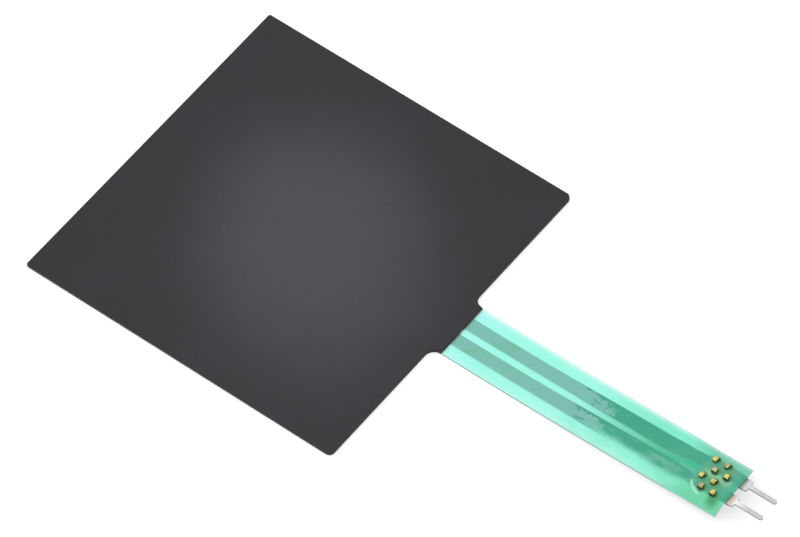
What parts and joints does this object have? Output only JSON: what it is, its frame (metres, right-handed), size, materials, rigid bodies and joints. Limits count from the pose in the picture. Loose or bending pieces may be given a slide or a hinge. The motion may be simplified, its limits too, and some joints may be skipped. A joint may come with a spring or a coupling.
{
  "type": "force sensor",
  "caption": "Thin square force-sensing resistor pad, black on top, with a clear green flexible tail that ends in crimped solder tabs.",
  "frame": {"origin": "centre of the square pad, on its adhesive underside", "axes": "+X along the tail towards the solder tabs, +Z out of the black active face"},
  "size_m": [0.0875, 0.0436, 0.0026],
  "materials": {
    "rear_adhesive": "thin clear pressure-sensitive adhesive",
    "base_film": "clear polyester film with a faint mint cast",
    "silver_ink": "screen-printed silver polymer ink",
    "spacer_adhesive": "double-sided spacer adhesive",
    "semiconductor_ink": "screen-printed carbon ink",
    "top_film": "satin black film",
    "cover_coat": "clear green printed coat",
    "solder_tab": "tin-plated brass strip, plain brass where the claws were sheared"
  },
  "bodies": {
    "root": {"rear_adhesive": "rear_adhesive", "base_film": "base_film", "electrode_comb_left": "silver_ink", "electrode_comb_right": "silver_ink", "spacer_adhesive": "spacer_adhesive", "semiconductor_ink": "semiconductor_ink", "top_film": "top_film", "cover_coat": "cover_coat", "solder_tab_left": "solder_tab", "solder_tab_right": "solder_tab"}
  },
  "joints": []
}
